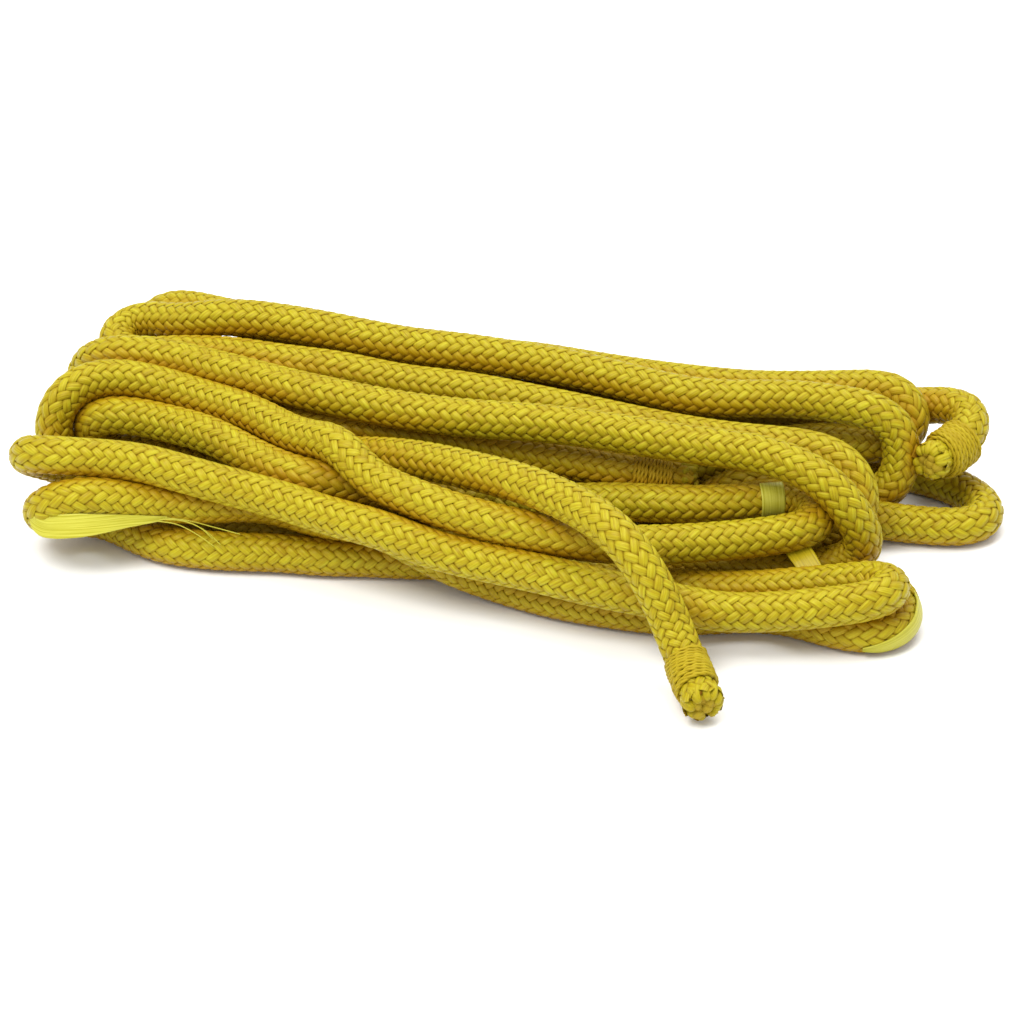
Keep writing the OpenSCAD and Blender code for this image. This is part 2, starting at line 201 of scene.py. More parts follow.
def make_camera():
    """Looks down at the hank from the front"""
    target = Vector(LOOKS_AT) * MM
    elevation = math.radians(LOOKS_DOWN)
    away = Vector((0, -math.cos(elevation), math.sin(elevation)))
    data = bpy.data.cameras.new("camera")
    data.sensor_width = 36
    data.lens = LENS
    data.clip_start = 0.05
    data.clip_end = 20
    camera = bpy.data.objects.new("camera", data)
    camera.location = target + away * CAMERA_FAR * MM
    camera.rotation_euler = (-away).to_track_quat("-Z", "Y").to_euler()
    bpy.context.scene.collection.objects.link(camera)
    bpy.context.scene.camera = camera


# ---------------------------------------------------------------- the rope's path
SAMPLES = 12  # between two points of a route


def spline(points, step):
    """Smooth curve through the points, as points one step apart"""
    p = np.array(points, float)
    p = np.vstack([2 * p[0] - p[1], p, 2 * p[-1] - p[-2]])
    out = []
    for p0, p1, p2, p3 in zip(p, p[1:], p[2:], p[3:]):
        t1 = np.linalg.norm(p1 - p0) ** 0.5
        t2 = t1 + np.linalg.norm(p2 - p1) ** 0.5
        t3 = t2 + np.linalg.norm(p3 - p2) ** 0.5
        t = np.linspace(t1, t2, SAMPLES, endpoint=False)[:, None]
        a1 = (t1 - t) / t1 * p0 + t / t1 * p1
        a2 = (t2 - t) / (t2 - t1) * p1 + (t - t1) / (t2 - t1) * p2
        a3 = (t3 - t) / (t3 - t2) * p2 + (t - t2) / (t3 - t2) * p3
        b1 = (t2 - t) / t2 * a1 + t / t2 * a2
        b2 = (t3 - t) / (t3 - t1) * a2 + (t - t1) / (t3 - t1) * a3
        out.append((t2 - t) / (t2 - t1) * b1 + (t - t1) / (t2 - t1) * b2)
    return evenly(np.vstack(out + [p[-2:-1]]), step)


def evenly(line, step):
    """The same line with its points one step apart, as near as its length allows"""
    along = np.r_[0, np.cumsum(np.linalg.norm(np.diff(line, axis=0), axis=1))]
    places = np.linspace(0, along[-1], max(2, round(along[-1] / step) + 1))
    return np.stack([np.interp(places, along, line[:, k]) for k in range(3)], 1)


RELAX_STEP = 3.0
CONTACT = 9.75  # centre distance of two laps that touch, a little squeezed
OWN_REACH = 21.0  # along the rope, nearer stretches of itself don't count as laps
BEND_SPAN = 6  # steps
BEND_CHORD = 12.6  # least straight distance over that span
BEND_SHARE = 0.4  # of each fault in bending that one round mends
CONTACT_SHARE = 0.9  # of each overlap that one round mends
FLOOR_Z = 4.95  # of the middle line of a lap that lies on the floor
ROUNDS = 260
LAST_ROUNDS = 60  # with no pull back to the routes
LOOK_EVERY = 20  # rounds between searches for laps that are near each other
LOOK_BEYOND = 5  # past contact, so that laps are found before they touch
PULL, PULL_LESS = 0.10, 0.085  # back to the route, and how much less a hidden lap feels of it
STIFF = 0.05  # how much a line straightens itself in one round


def settle(routes):
    """Lets the laps push each other apart where they touch and rest on the floor, close to their routes"""
    points = [[p for kind, stretch in route for p in stretch] for route in routes]
    lines = [spline(p, RELAX_STEP) for p in points]
    ease = np.concatenate([easiness(*pair) for pair in zip(lines, routes)])
    rope = np.concatenate([np.full(len(line), i) for i, line in enumerate(lines)])
    place = np.concatenate([np.arange(len(line)) * RELAX_STEP for line in lines])
    home = np.vstack(lines)
    x = home.copy()
    inner = np.r_[rope[1:] == rope[:-1], False] & np.r_[False, rope[1:] == rope[:-1]]
    inner = np.flatnonzero(inner)
    deep = inner[np.isin(inner - 1, inner) & np.isin(inner + 1, inner)]
    reach = np.flatnonzero(rope[BEND_SPAN:] == rope[:-BEND_SPAN])
    for n in range(ROUNDS):
        if n % LOOK_EVERY == 0:
            gap = np.linalg.norm(x[:, None] - x[None], axis=2)
            lap = (rope[:, None] != rope[None]) | (abs(place[:, None] - place[None]) > OWN_REACH)
            i, j = np.nonzero(np.triu(lap & (gap < CONTACT + LOOK_BEYOND)))
        if n < ROUNDS - LAST_ROUNDS:
            x += (PULL - PULL_LESS * ease)[:, None] * (home - x)
        fourth = x[deep - 2] - 4 * x[deep - 1] + 6 * x[deep] - 4 * x[deep + 1] + x[deep + 2]
        x[deep] -= STIFF * fourth
        push(x, ease, reach, reach + BEND_SPAN, BEND_CHORD, BEND_SHARE)
        push(x, ease, i, j, CONTACT, CONTACT_SHARE)
        x[:, 2] = np.maximum(x[:, 2], FLOOR_Z)
    return [x[rope == k] for k in range(len(lines))]


def easiness(line, route):
    """How readily each point of a line gives way: hidden stretches do, seen ones hardly"""
    places = np.array([p for kind, stretch in route for p in stretch], float)
    kinds = np.array([kind for kind, stretch in route for p in stretch])
    nearest = np.argmin(np.linalg.norm(line[:, None] - places[None], axis=2), axis=1)
    return np.convolve(np.pad(kinds[nearest], 2, "edge"), np.ones(5) / 5, "valid")


def push(x, ease, i, j, least, share):
    """Moves each pair of points that is closer than least apart, the easier one further"""
    d = x[j] - x[i]
    far = np.linalg.norm(d, axis=1)
    close = far < least
    i, j, d, far = i[close], j[close], d[close], far[close]
    move = (least - far)[:, None] * d / np.maximum(far, 1e-6)[:, None]
    mine = (ease[i] / (ease[i] + ease[j]))[:, None]
    total = np.zeros_like(x)
    count = np.zeros(len(x))
    np.add.at(total, i, -move * mine)
    np.add.at(total, j, move * (1 - mine))
    np.add.at(count, i, 1)
    np.add.at(count, j, 1)
    x += share * total / np.maximum(count, 1)[:, None] * np.minimum(count, 2)[:, None]


class Path:
    """A line in space with a frame carried along it with no twist"""

    def __init__(self, line):
        self.line = spline(np.vstack([line[:-1:2], line[-1:]]), PATH_STEP)
        self.nook_shade = None
        step = np.gradient(self.line, axis=0)
        self.t = step / np.linalg.norm(step, axis=1)[:, None]
        n = np.cross(self.t[0], (0.3, 0.2, 1))
        normals = []
        for t in self.t:
            n = n - n.dot(t) * t
            n = n / np.linalg.norm(n)
            normals.append(n)
        self.n = np.array(normals)
        self.b = np.cross(self.t, self.n)
        self.s = np.r_[0, np.cumsum(np.linalg.norm(np.diff(self.line, axis=0), axis=1))]
        self.length = self.s[-1]

    def at(self, s, angle, radius):
        """Points at places along, angles round and distances from the line"""
        def mix(a):
            return np.stack([np.interp(s, self.s, a[:, k]) for k in range(3)], -1)
        over = np.where(s < 0, s, np.maximum(s - self.length, 0))[..., None]
        out = np.cos(angle)[..., None] * mix(self.n) + np.sin(angle)[..., None] * mix(self.b)
        out /= np.linalg.norm(out, axis=-1)[..., None]
        return mix(self.line) + over * mix(self.t) + out * np.asarray(radius)[..., None]


# ---------------------------------------------------------------- meshes
class Builder:
    """Gathers grids of points into one mesh, with what its materials need to know of each point"""

    def __init__(self):
        self.points, self.quads, self.fibre, self.slots = [], [], [], []
        self.extra = {"depth": [], "nook_shade": []}
        self.count = 0

    def grid(self, points, fibre, slot=0, round_trip=False, depth=0.0, nook_shade=0.0):
        """points and fibre are rows x columns x 3; round_trip joins the last column to the first"""
        rows, columns = points.shape[:2]
        index = self.count + np.arange(rows * columns).reshape(rows, columns)
        if round_trip:
            index = np.hstack([index, index[:, :1]])
        quads = np.stack([index[:-1, :-1], index[:-1, 1:], index[1:, 1:], index[1:, :-1]], -1).reshape(-1, 4)
        self.points.append(points.reshape(-1, 3))
        self.fibre.append(np.broadcast_to(fibre, points.shape).reshape(-1, 3))
        self.extra["depth"].append(np.broadcast_to(depth, points.shape[:2]).ravel())
        self.extra["nook_shade"].append(np.broadcast_to(nook_shade, points.shape[:2]).ravel())
        self.quads.append(quads)
        self.slots.append(np.full(len(quads), slot))
        self.count += rows * columns

    def make(self, name, materials):
        mesh = bpy.data.meshes.new(name)
        points = np.vstack(self.points) * MM
        quads = np.vstack(self.quads).astype(np.int32)
        mesh.vertices.add(len(points))
        mesh.vertices.foreach_set("co", points.astype(np.float32).ravel())
        mesh.loops.add(quads.size)
        mesh.loops.foreach_set("vertex_index", quads.ravel())
        mesh.polygons.add(len(quads))
        mesh.polygons.foreach_set("loop_start", np.arange(0, quads.size, 4, dtype=np.int32))
        mesh.polygons.foreach_set("material_index", np.concatenate(self.slots).astype(np.int32))
        mesh.polygons.foreach_set("use_smooth", np.ones(len(quads), bool))
        mesh.update(calc_edges=True)
        fibre = mesh.attributes.new("fibre", "FLOAT_VECTOR", "POINT")
        fibre.data.foreach_set("vector", np.vstack(self.fibre).astype(np.float32).ravel())
        for key, values in self.extra.items():
            extra = mesh.attributes.new(key, "FLOAT", "POINT")
            extra.data.foreach_set("value", np.concatenate(values).astype(np.float32))
        for material in materials:
            mesh.materials.append(material)
        piece = bpy.data.objects.new(name, mesh)
        bpy.context.scene.collection.objects.link(piece)
        return piece


NOOK_STEP = 3  # path points between the places where nooks are measured
NOOK_SIDES = 24
NOOK_DEEP = 12.0  # a surface further than this from the next lap is open
OWN_BESIDE = 13.0  # along the rope, nearer stretches of itself make no nook
LEAN = 0.3  # how far past sideways a surface still counts as facing a lap or the floor


def find_nooks(paths):
    """Measures how shut in by other laps and the floor each side of each rope is, from 0 to 1, which sets its
    painted shade
    """
    middles = [path.line[::NOOK_STEP] for path in paths]
    rope = np.concatenate([np.full(len(m), k) for k, m in enumerate(middles)])
    along = np.concatenate([path.s[::NOOK_STEP] for path in paths])
    middle = np.vstack(middles)
    round_it = np.linspace(0, 2 * math.pi, NOOK_SIDES, endpoint=False)
    for k, path in enumerate(paths):
        n, b = path.n[::NOOK_STEP], path.b[::NOOK_STEP]
        path.nook_shade = np.zeros((len(n), NOOK_SIDES))
        for row, (centre, s) in enumerate(zip(middles[k], path.s[::NOOK_STEP])):
            near = np.linalg.norm(middle - centre, axis=1) < ROPE_D + NOOK_DEEP
            near &= (rope != k) | (abs(along - s) > OWN_BESIDE)
            out = np.cos(round_it)[:, None] * n[row] + np.sin(round_it)[:, None] * b[row]
            skin = centre + out * ROPE_R
            shut = np.clip(1 - skin[:, 2] / NOOK_DEEP, 0, 1) * np.clip(LEAN - out[:, 2], 0, 1)
            if near.any():
                to = middle[near][None] - skin[:, None]
                far = np.linalg.norm(to, axis=2)
                facing = np.clip((to * out[:, None]).sum(2) / far + LEAN, 0, 1)
                close = np.clip(1 - (far - ROPE_R) / NOOK_DEEP, 0, 1)
                shut = np.maximum(shut, (facing * close).max(1))
            path.nook_shade[row] = shut


def nook_at(path, s, angle):
    """The nook measured nearest to each place on the rope, blended between its neighbours"""
    row = np.clip(s / path.length, 0, 1) * (len(path.nook_shade) - 1)
    column = np.mod(angle, 2 * math.pi) / (2 * math.pi) * NOOK_SIDES
    i, j = np.floor(row).astype(int), np.floor(column).astype(int)
    i = np.minimum(i, len(path.nook_shade) - 2)
    row, column = row - i, column - j
    a, b = j % NOOK_SIDES, (j + 1) % NOOK_SIDES
    low = path.nook_shade[i, a] * (1 - column) + path.nook_shade[i, b] * column
    high = path.nook_shade[i + 1, a] * (1 - column) + path.nook_shade[i + 1, b] * column
    return low * (1 - row) + high * row


ACROSS = np.array([-1, -0.8, 0, 0.8, 1])  # places across a strand, as parts of half its width
CROWN = np.array([-0.30, -0.03, 0.03, -0.03, -0.30])  # how high it stands at each
DRAWN_IN = 0.07  # part of its radius that the sheath loses under a whipping and gains past it
SQUARE = 1.8  # a strand stays up or down, and changes over quickly
HALFWAY = math.radians(45)  # each change of level is halfway between two crossings
CORE_SIDES = 16


def squeeze(path, s):
    """How much the sheath is drawn in under the whippings, and flared past them, along a path"""
    k = np.ones_like(s)
    for d in (s, path.length - s):
        under = np.clip((WHIP_TO + 2 - d) / 3, 0, 1) * np.clip((d - WHIP_FROM + 1.5) / 2, 0, 1)
        flare = np.clip((WHIP_FROM - 1 - d) / WHIP_FROM, 0, 1)
        k = k * (1 - DRAWN_IN * under) * (1 + DRAWN_IN * flare)
    return k


def sheath(builder, path, first, last):
    """Braids the strands round a path, from one of its points to another, over a core painted dark as shade
    """
    k = np.arange(first, last + 1)
    s = path.s[k][:, None]
    slope = math.atan2(2 * math.pi * SHEATH_R, LAY)
    u = ACROSS * STRAND_W / 2
    shrink = squeeze(path, path.s[k])[:, None]
    for side in (1, -1):
        for n in range(STRANDS):
            angle = side * 2 * math.pi * s / LAY + 2 * math.pi * n / STRANDS
            wave = side * np.tanh(SQUARE * np.cos(STRANDS / 2 * angle - HALFWAY)) / math.tanh(SQUARE)
            radius = (SHEATH_R + WAVE * wave + CROWN) * shrink
            where = angle + u * math.cos(slope) / SHEATH_R
            points = path.at(s - side * u * math.sin(slope), where, radius)
            fibre = np.stack(np.broadcast_arrays(s, u, 10.0 * n + 5 * (side + 1)), -1)
            # painted shade: depth rises where a strand dips under the crossing strands and at its edges, and
            # darkens the yarn there; the table from find_nooks turns the yarn orange-brown where other laps
            # shut it in
            depth = 0.5 - 0.5 * wave + 0.5 * abs(ACROSS) ** 6
            builder.grid(points, fibre, 0, depth=depth, nook_shade=nook_at(path, s + 0 * u, where))
    ring = np.linspace(0, 2 * math.pi, CORE_SIDES, endpoint=False)[None]
    coarse = np.unique(np.r_[k[::3], k[-1]])
    s = path.s[coarse][:, None]
    points = path.at(s + 0 * ring, ring + 0 * s, CORE_R * squeeze(path, s) + 0 * ring)
    builder.grid(points, np.stack(np.broadcast_arrays(s, ring, 0.0), -1), 1, True)


ROUND_END = ((0.35, 0.6), (0.15, 0.03))  # how far out each added ring stands and its size, in radii


def tube(builder, line, radius, sides, slot=0, depth=0.0, nook_shade=0.0):
    """A tube with round ends along a line of points; radius and nook are one number or one for each point"""
    line = np.asarray(line, float)
    step = np.gradient(line, axis=0)
    t = step / np.linalg.norm(step, axis=1)[:, None]
    radius = np.broadcast_to(np.asarray(radius, float), (len(line),))
    ends = radius[[0, -1]]
    for stand_out, share in ROUND_END:
        before = line[0] - t[0] * ends[0] * stand_out
        after = line[-1] + t[-1] * ends[1] * stand_out
        line = np.vstack([before, line, after])
        t = np.vstack([t[:1], t, t[-1:]])
        radius = np.r_[ends[0] * share, radius, ends[1] * share]
    n = np.cross(t[0], (0.31, 0.17, 0.9))
    rings = []
    ring = np.linspace(0, 2 * math.pi, sides, endpoint=False)[:, None]
    for p, d, r in zip(line, t, radius):
        n = n - n.dot(d) * d
        n /= np.linalg.norm(n)
        rings.append(p + r * (np.cos(ring) * n + np.sin(ring) * np.cross(d, n)))
    along = np.r_[0, np.cumsum(np.linalg.norm(np.diff(line, axis=0), axis=1))][:, None]
    fibre = np.stack(np.broadcast_arrays(along, ring.T * radius.mean(), 0.0), -1)
    added = len(ROUND_END)
    nook_shade = np.pad(np.broadcast_to(nook_shade, (len(line) - 2 * added,)), added, mode="edge")[:, None]
    builder.grid(np.array(rings), fibre, slot, True, depth, nook_shade)


TURN_POINTS = 56  # points along one turn of twine
LOOSE_EVERY = 1.6  # radians between changes in how the twine lies
LOOSE_OUT, LOOSE_ALONG = 0.10, 0.09
SLANT = 0.16  # of the pitch, to and fro in each turn
BARREL = 0.22  # how much the whipping bulges in its middle
PLY_OUT = 0.19  # from the twine's middle line to that of each of its two plies
PLY_R = 0.36 * TWINE_D
PLY_TURN = 0.7  # of twine in one radian of the plies' twist


def wind(builder, path, end, start, stop, radius, pitch, seed):
    """One layer of twine wound round the rope between two distances from its cut end"""
    rng = np.random.default_rng(seed)
    turns = (stop - start - TWINE_D) / pitch
    a = np.linspace(0, 2 * math.pi * turns, round(TURN_POINTS * turns))
    knots = np.arange(0, a[-1] + 2, LOOSE_EVERY)
    slack = LOOSE_OUT * np.interp(a, knots, rng.normal(0, 1, len(knots)))
    slant = SLANT * pitch * np.sin(a + rng.uniform(0, 6))
    slant += LOOSE_ALONG * np.interp(a, knots, rng.normal(0, 1, len(knots)))
    d = start + TWINE_D / 2 + a / (2 * math.pi) * pitch + slant
    s = d if end == 0 else path.length - d
    barrel = BARREL * np.sin(math.pi * (d - start) / (stop - start))
    shade = nook_at(path, s, a)
    for ply in (0, math.pi):
        twist = a * radius / PLY_TURN + ply
        out = radius + slack + barrel + PLY_OUT * np.sin(twist)
        line = path.at(s + PLY_OUT * np.cos(twist), a, out)
        # painted shade: the twine darkens a little all over through depth, and like the rope beneath it where
        # other laps shut it in
        tube(builder, line, PLY_R, 6, depth=0.25, nook_shade=shade)


WOUND_R = 4.85  # of the twine's middle line
LAYER_UP = 0.8 * TWINE_D
LAYER_IN = 0.4  # how much further in at both ends each next layer begins
PITCH = 0.78  # of the twine's diameter
PITCH_MORE = 0.08  # in each next layer


def make_whipping(name, path, end, layers=1):
    """Twine wound round the rope beside its cut end"""
    builder = Builder()
    for layer in range(layers):
        start, stop = WHIP_FROM + LAYER_IN * layer, WHIP_TO - LAYER_IN * layer
        radius = WOUND_R + LAYER_UP * layer
        pitch = (PITCH + PITCH_MORE * layer) * TWINE_D
        wind(builder, path, end, start, stop, radius, pitch, 10 * len(name) + layer)
    return builder.make(name, [twine_material])


CORE_YARNS = 8
CORE_SPREAD = 2.9  # how far from the middle the outermost of them stands
YARN_LOW = 2.5  # how deep inside the rope they begin
STRAND_ENDS = 14
STRAND_FROM = 2.2  # from the cut end, where the sheath's strands begin to bend in


def make_cut_end(name, path, end):
    """Thick core yarns cut off unevenly in the middle, and the sheath's strands bent in over them"""
    builder = Builder()
    rng = np.random.default_rng(7 + len(name))
    inward = 1 if end == 0 else -1
    s0 = 0.0 if end == 0 else path.length
    turn = math.pi * (3 - math.sqrt(5))
    for n in range(CORE_YARNS):
        far = CORE_SPREAD * math.sqrt((n + 0.2) / CORE_YARNS)
        height = rng.uniform(0.2, 1.6) + 0.4 * (1 - far / CORE_SPREAD)
        d = np.linspace(-YARN_LOW, height, 9)
        wobble = 0.22 * np.sin(d * 1.7 + rng.uniform(0, 6))
        line = path.at(s0 - inward * d, n * turn + wobble, far + wobble)
        radius = rng.uniform(1.5, 1.8) * np.interp(d, [-YARN_LOW, height - 0.9, height], [1, 1, 0.6])
        # painted shade: each core yarn darkens towards its shade colour by a random amount, through depth
        tube(builder, line, radius, 10, depth=0.3 + 0.25 * rng.random())
    t = np.linspace(0, 1, 8)
    for n in range(STRAND_ENDS):
        angle = n * 2 * math.pi / STRAND_ENDS + rng.uniform(-0.1, 0.1)
        over = rng.uniform(0.5, 1.2)
        s = s0 + inward * (STRAND_FROM - STRAND_FROM * t - over * np.sin(t * math.pi / 2))
        askew = rng.uniform(-0.35, 0.35) * t
        line = path.at(s, angle + askew, 4.15 - 1.3 * t ** 3 + rng.uniform(-0.1, 0.1))
        radius = rng.uniform(1.05, 1.2) * np.interp(t, [0, 0.85, 1], [1, 1, 0.8])
        tube(builder, line, radius, 8, 1, depth=0.2)
    return builder.make(name, [core_material, rope_material])


TAPE_SPLITS = 9  # ridges along it
TAPE_RIDGE = 0.10
TAPE_THICK = 0.12
TAPE_FIBRE = 3.0  # its place in the fibre pattern


def ribbon(builder, middle, width, outward):
    """A flat tape along a line of points, ridged along its length; outward is the side that it shows"""
    middle, outward = np.array(middle, float), np.array(outward, float)
    t = np.gradient(middle, axis=0)
    t /= np.linalg.norm(t, axis=1)[:, None]
    outward -= (outward * t).sum(1)[:, None] * t
    outward /= np.linalg.norm(outward, axis=1)[:, None]
    side = np.cross(t, outward)
    across = np.linspace(-0.5, 0.5, 2 * TAPE_SPLITS + 1)
    ridge = TAPE_RIDGE * (np.arange(len(across)) % 2)
    width = np.broadcast_to(width, len(middle))[:, None]
    loop = np.r_[across, across[::-1]]
    lift = np.r_[TAPE_THICK + ridge, ridge[::-1]]
    points = middle[:, None] + side[:, None] * (loop * width)[..., None] + outward[:, None] * lift[:, None]
    along = np.r_[0, np.cumsum(np.linalg.norm(np.diff(middle, axis=0), axis=1))][:, None]
    builder.grid(points, np.stack(np.broadcast_arrays(along, loop * width, TAPE_FIBRE), -1), 0, True)


def finer(points, count):
    """About count points along a short line, and what else its points hold, blended between them"""
    points = np.array(points, float)
    step = np.linalg.norm(np.diff(points[:, :3], axis=0), axis=1)
    line = spline(points[:, :3], step.sum() / count)
    along = np.r_[0, np.cumsum(step)] / step.sum()
    rest = [np.interp(np.linspace(0, 1, len(line)), along, column) for column in points[:, 3:].T]
    return line, rest


LOW_STRIP = [  # tape on the lowest loop: its middle line, and its width at each point
    (-122.3, -5, 14.6, 1.6), (-121, -6.8, 14.2, 4.2), (-118.7, -8.2, 13.6, 5.8), (-114.9, -9.8, 14.3, 6.4),
    (-108.6, -10.6, 15, 6.0), (-103.5, -9.8, 15, 4.8), (-97.2, -7.9, 14.7, 3.2), (-92.2, -7, 14.6, 2.0),
    (-87.6, -6.2, 14.6, 0.8)]
# The side that a strip shows at each point
LOW_SIDES = [(-0.7, -0.7, 0.2), (-0.6, -0.8, 0.3), (-0.3, -0.85, 0.4)] + 6 * [(0, -0.87, 0.5)]
# The same for the tape in the gap behind the front run
GAP_STRIP = [(67.0, -13, 13.6, 6.2), (69, -17, 13.6, 6.6), (71.4, -22, 12.6, 6.6), (74, -28, 10.4, 6.0)]
GAP_SIDES = 4 * [(0.1, -0.5, 0.86)]
# Loose threads at the thin end of the tape on the lowest loop
THREADS = [[(-89, -6.4, 14.6), (-83, -7.4, 14.4), (-78, -9.2, 12.8), (-74, -11.2, 9.8)],
           [(-90, -6.6, 14.4), (-84, -7.8, 14.8), (-79, -9.4, 13.6), (-76, -10.4, 11)],
           [(-88, -6.4, 14.8), (-82, -7.6, 14.6), (-75, -9.4, 13.6), (-69, -10.8, 12.6)],
           [(-91, -6.8, 14.2), (-85, -8, 13.8), (-80, -9.8, 12), (-75.6, -11.4, 9.4)]]
CORNER_STRIP = [  # where it lies along the turn, the side it lies on, and its width
    (84, -45, 5, 0.1, -0.89, -0.4, 1.2), (88, -45, 5, 0.2, -0.88, -0.35, 4.4),
    (92, -42.5, 5, 0.6, -0.75, -0.1, 5.8), (94.3, -38, 5, 0.85, -0.5, 0.2, 5.6),
    (94.4, -33, 5.5, 0.9, -0.4, 0.3, 4.0), (93, -29, 6, 0.9, -0.3, 0.35, 1.4)]
WRAP_STEPS = 19  # points across it
WRAP_RIDGE = 0.09
WRAP_TOP, WRAP_UNDER = ROPE_R + 0.26, ROPE_R - 0.15  # how far its two faces are from the rope's middle line
WRAP_ACROSS = 0.36  # from one of those points to the next, in the fibre pattern


def make_wrap(name, path, stations):
    """Tape that lies along a rope and narrows to its ends"""
    builder = Builder()
    stations = np.array(stations, float)
    k = [int(np.argmin(np.linalg.norm(path.line - place, axis=1))) for place in stations[:, :3]]
    order = np.argsort(k)
    rows = np.arange(min(k), max(k) + 1)
    side_on, width = (np.stack([np.interp(rows, np.array(k)[order], stations[order, c]) for c in columns], -1)
                      for columns in ((3, 4, 5), (6,)))
    t = path.t[rows]
    out = side_on - (side_on * t).sum(1)[:, None] * t
    out /= np.linalg.norm(out, axis=1)[:, None]
    side = np.cross(t, out)
    ridge = WRAP_RIDGE * (np.arange(WRAP_STEPS) % 2)
    angle = np.linspace(-0.5, 0.5, WRAP_STEPS) * width / ROPE_R
    rings = []
    for radius in (WRAP_TOP + ridge, WRAP_UNDER + ridge):
        away = np.cos(angle)[..., None] * out[:, None] + np.sin(angle)[..., None] * side[:, None]
        rings.append(path.line[rows][:, None] + away * radius[:, None])
    points = np.concatenate([rings[0], rings[1][:, ::-1]], axis=1)
    across = np.r_[np.arange(WRAP_STEPS), np.arange(WRAP_STEPS)[::-1]] * WRAP_ACROSS
    along = (path.s[rows] - path.s[rows[0]])[:, None]
    builder.grid(points, np.stack(np.broadcast_arrays(along, across, TAPE_FIBRE), -1), 0, True)
    return builder.make(name, [tape_material])


THREAD_R = 0.14


def make_strip(name, stations, sides, material, threads=()):
    """Loose strip of tape, with the side that it shows at each point, and loose threads"""
    builder = Builder()
    line, rest = finer(np.hstack([stations, sides]), 40)
    ribbon(builder, line, rest[0], np.stack(rest[1:], -1))
    for thread in threads:
        tube(builder, finer(thread, 14)[0], THREAD_R, 5)
    return builder.make(name, [material])


def make_band(name, path, place, from_angle, to_angle, width):
    """Tape round a rope at a place: angles are from straight down, by way of the front"""
    builder = Builder()
    k = int(np.argmin(np.linalg.norm(path.line - place, axis=1)))
    t = path.t[k] * np.sign(path.t[k][0])
    front = np.cross(t, (0, 0, 1))
    front /= np.linalg.norm(front)
    up = np.cross(front, t)
    a = np.radians(np.linspace(from_angle, to_angle, 24))[:, None]
    out = np.sin(a) * front - np.cos(a) * up
    ribbon(builder, path.line[k] + (ROPE_R + TAPE_THICK) * out + 0.05 * a * t, width, out)
    return builder.make(name, [tape_material])


# ---------------------------------------------------------------- materials
class Nodes:
    """Short names for building a node tree"""

    def __init__(self, name):
        self.material = bpy.data.materials.new(name)
        self.material.use_nodes = True
        self.tree = self.material.node_tree
        self.shader = self.tree.nodes["Principled BSDF"]

    def add(self, kind, links=None, **settings):
        node = self.tree.nodes.new(kind)
        for key, value in settings.items():
            setattr(node, key, value)
        for socket, source in (links or {}).items():
            self.put(node.inputs[socket], source)
        return node

    def put(self, socket, source):
        if isinstance(source, bpy.types.NodeSocket):
            self.tree.links.new(source, socket)
        else:
            socket.default_value = source

    def set(self, **values):
        for name, value in values.items():
            self.put(self.shader.inputs[name.replace("_", " ")], value)

    def fibre(self, scale):
        """Where a point is on its strand, stretched"""
        place = self.add("ShaderNodeAttribute", attribute_name="fibre")
        return self.add("ShaderNodeVectorMath", {0: place.outputs["Vector"], 1: scale},
                        operation="MULTIPLY").outputs[0]

    def attribute(self, name):
        return self.add("ShaderNodeAttribute", attribute_name=name).outputs["Fac"]

    def spread(self, value, low, high, to_low, to_high):
        """The value's range from low to high, moved to another range"""
        return self.add("ShaderNodeMapRange", {0: value, 1: low, 2: high, 3: to_low, 4: to_high}).outputs[0]

    def tint(self, colour, share, other):
        """A share of another colour mixed in"""
        return self.add("ShaderNodeMix", {0: share, 6: colour, 7: (*other, 1)}, data_type="RGBA").outputs[2]

    def noise(self, vector, scale, detail=2.0, rough=0.5):
        return self.add("ShaderNodeTexNoise", {"Vector": vector, "Scale": scale, "Detail": detail,
                                               "Roughness": rough}).outputs["Fac"]

    def ramp(self, fac, stops):
        node = self.add("ShaderNodeValToRGB", {"Fac": fac})
        while len(node.color_ramp.elements) < len(stops):
            node.color_ramp.elements.new(0.5)
        for element, (position, colour) in zip(node.color_ramp.elements, stops):
            element.position = position
            element.color = (*colour, 1)
        return node.outputs["Color"]

    def bump(self, height, strength, distance):
        return self.add("ShaderNodeBump", {"Height": height, "Strength": strength,
                                           "Distance": distance}).outputs["Normal"]


PAINTED_NOOK_SHADE = (0.33, 0.155, 0.001)  # painted shade and painted bounce light, mixed into the yarn's colour where other laps and the floor shut it in


def yarn_material(name, deep, dark, mid, light, strength, across):
    """Flat shiny yarn with fine filaments along it, with painted shade where it dips and warmer painted shade
    beside other laps
    """
    m = Nodes(name)
    threads = m.noise(m.fibre((0.16, across, 1.0)), 1.0, 3.0, 0.6)
    patches = m.noise(m.fibre((0.045, 0.22, 0.7)), 1.0, 2.0, 0.5)
    mixed = m.add("ShaderNodeMix", {0: 0.3, 2: threads, 3: patches}).outputs[0]
    colour = m.ramp(mixed, [(0.34, dark), (0.49, mid), (0.64, light)])
    depth = m.attribute("depth")
    # painted shade: the colour darkens towards deep where a strand dips under the crossing strands and at its
    # edges
    colour = m.tint(colour, m.spread(depth, 0.2, 0.9, 0.0, 0.95), deep)
    # painted shade: the colour turns orange-brown where other laps and the floor shut the yarn in
    colour = m.tint(colour, m.spread(m.attribute("nook_shade"), 0.15, 0.95, 0.0, 0.75), PAINTED_NOOK_SHADE)
    m.set(Base_Color=colour, Roughness=m.spread(depth, 0.1, 0.6, 0.42, 0.9))
    m.set(Specular_IOR_Level=0.3, Specular_Tint=(1, 0.9, 0.5, 1))
    m.set(Normal=m.bump(threads, strength, 0.0002))
    return m.material


